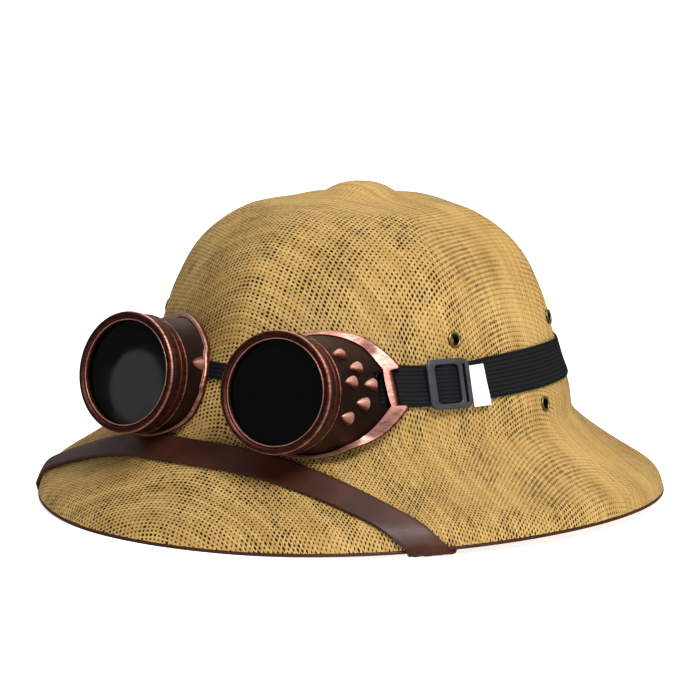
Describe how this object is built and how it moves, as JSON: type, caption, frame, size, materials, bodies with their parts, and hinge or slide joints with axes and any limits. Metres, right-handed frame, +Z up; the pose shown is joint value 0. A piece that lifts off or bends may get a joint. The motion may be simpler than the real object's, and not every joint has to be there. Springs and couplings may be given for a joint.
{
  "type": "straw sun helmet with goggles",
  "caption": "Ridged straw sun helmet with a wide sloping brim, a leather chin strap over the brim and round goggles on an elastic strap round the crown.",
  "frame": {"origin": "middle of the brim on the surface that the hat rests on", "axes": "+Z up, -Y the front of the hat, +X the wearer's left"},
  "size_m": [0.2882, 0.3326, 0.1519],
  "materials": {
    "straw": "matte woven paper straw",
    "leather": "satin",
    "copper": "worn antique copper",
    "brass": "antique",
    "lens": "dark gloss",
    "elastic": "ribbed elastic",
    "plastic": "semi-gloss",
    "label": "plain white tape"
  },
  "bodies": {
    "hat": {"straw_shell": "straw", "brim_binding": "leather", "chin_strap": "leather", "eyelet_left_front": "brass", "eyelet_left_rear": "brass", "eyelet_left_low": "brass", "eyelet_right_front": "brass", "eyelet_right_rear": "brass", "eyelet_right_low": "brass", "goggle_cup_left": "copper", "goggle_cup_right": "copper", "lens_left": "lens", "lens_right": "lens", "strap_post_left": "copper", "strap_post_right": "copper", "nose_band": "elastic", "elastic_strap": "elastic", "strap_label": "label", "strap_slider": "plastic"},
    "lens_ring_left": {"lens_ring_left": "copper"},
    "lens_ring_right": {"lens_ring_right": "copper"}
  },
  "joints": [
    {"name": "lens_ring_left_turn", "type": "hinge", "parent": "hat", "child": "lens_ring_left", "pos_m": [0.042, -0.133, 0.0715], "axis": [0.0942, -0.9787, 0.1822], "range_deg": [0, 360]},
    {"name": "lens_ring_right_turn", "type": "hinge", "parent": "hat", "child": "lens_ring_right", "pos_m": [-0.042, -0.133, 0.0715], "axis": [-0.0942, -0.9787, 0.1822], "range_deg": [0, 360]}
  ]
}
